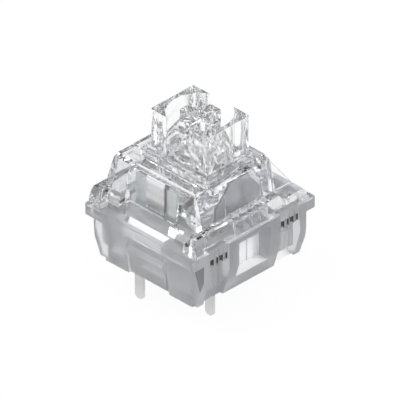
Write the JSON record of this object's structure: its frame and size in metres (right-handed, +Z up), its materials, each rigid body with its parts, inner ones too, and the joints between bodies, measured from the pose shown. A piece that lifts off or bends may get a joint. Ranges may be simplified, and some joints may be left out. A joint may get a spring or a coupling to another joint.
{
  "type": "mechanical keyboard switch",
  "caption": "Plate-mount mechanical keyboard switch with a clear cover, frosted base, cross-shaped keycap stem and flat solder pins.",
  "frame": {"origin": "on the centre post's axis, at the board face of the lower housing", "axes": "+Z up towards the keycap, along the stem's travel; -Y towards the contacts and solder pins; +Y towards the light slot; X across the two latch sides"},
  "size_m": [0.014, 0.0156, 0.0187],
  "materials": {
    "frosted_plastic": "frosted translucent polycarbonate",
    "clear_plastic": "clear polished polycarbonate",
    "stem_plastic": "clear moulded plastic",
    "spring_steel": "drawn steel wire",
    "terminal_metal": "tinned sheet",
    "leaf_metal": "plated spring bronze",
    "contact_gold": "gold alloy"
  },
  "bodies": {
    "housing": {"lower_housing": "frosted_plastic", "upper_housing": "clear_plastic", "fixed_terminal": "terminal_metal", "fixed_contact_bar": "contact_gold", "leaf_terminal": "terminal_metal", "return_spring": "spring_steel"},
    "stem": {"stem": "stem_plastic"},
    "leaf": {"contact_leaf": "leaf_metal", "moving_contact_bar": "contact_gold"}
  },
  "joints": [
    {"name": "stem_travel", "type": "slide", "parent": "housing", "child": "stem", "axis": [0, 0, -1], "range_m": [0, 0.004], "stiffness_N_per_m": 60, "springref_m": -0.007, "deforming": ["return_spring"]},
    {"name": "leaf_flex", "type": "hinge", "parent": "housing", "child": "leaf", "pos_m": [0, -0.00477, 0.01015], "axis": [1, 0, 0], "range_deg": [0, 1.75]}
  ],
  "couplings": [
    {"joint": "leaf_flex", "follows": "stem_travel", "rad_per_m": 7.4}
  ]
}
